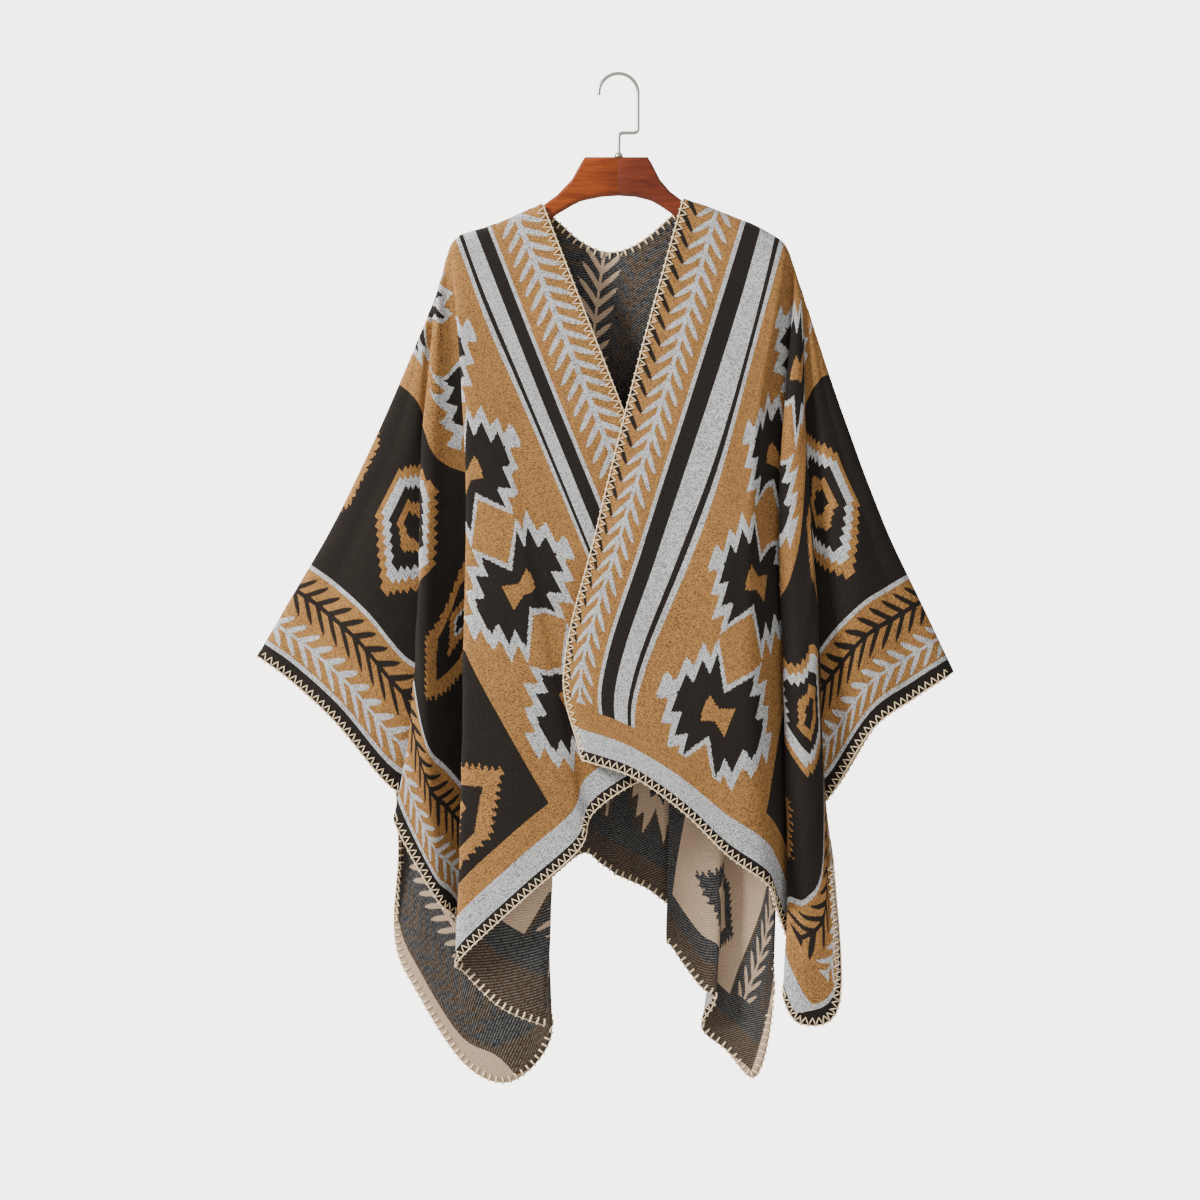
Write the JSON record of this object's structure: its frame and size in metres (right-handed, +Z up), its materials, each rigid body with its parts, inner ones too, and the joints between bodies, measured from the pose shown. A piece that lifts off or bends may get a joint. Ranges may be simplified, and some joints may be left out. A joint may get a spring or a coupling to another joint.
{
  "type": "open knitted-look poncho cape on a wooden hanger",
  "caption": "Open-front poncho cape with wide draped sleeves and a bold geometric weave, hanging on a wooden hanger with a metal hook.",
  "frame": {"origin": "inside the top of the hanger's hook, where the rail goes", "axes": "+Z up, the open front faces -Y, +X to the viewer's right"},
  "size_m": [0.8204, 0.1382, 1.1992],
  "materials": {
    "cloth": "soft double-faced jacquard weave, matt",
    "wood_light": "glossy brown lacquer",
    "wood_dark": "glossy dark brown lacquer",
    "hook_metal": "satin nickel plate"
  },
  "bodies": {
    "root": {"hook": "hook_metal", "hook_collar": "hook_metal", "hanger_left": "wood_light", "hanger_right": "wood_dark", "cloth_left_front": "cloth", "cloth_right_front": "cloth", "cloth_back": "cloth"}
  },
  "joints": []
}
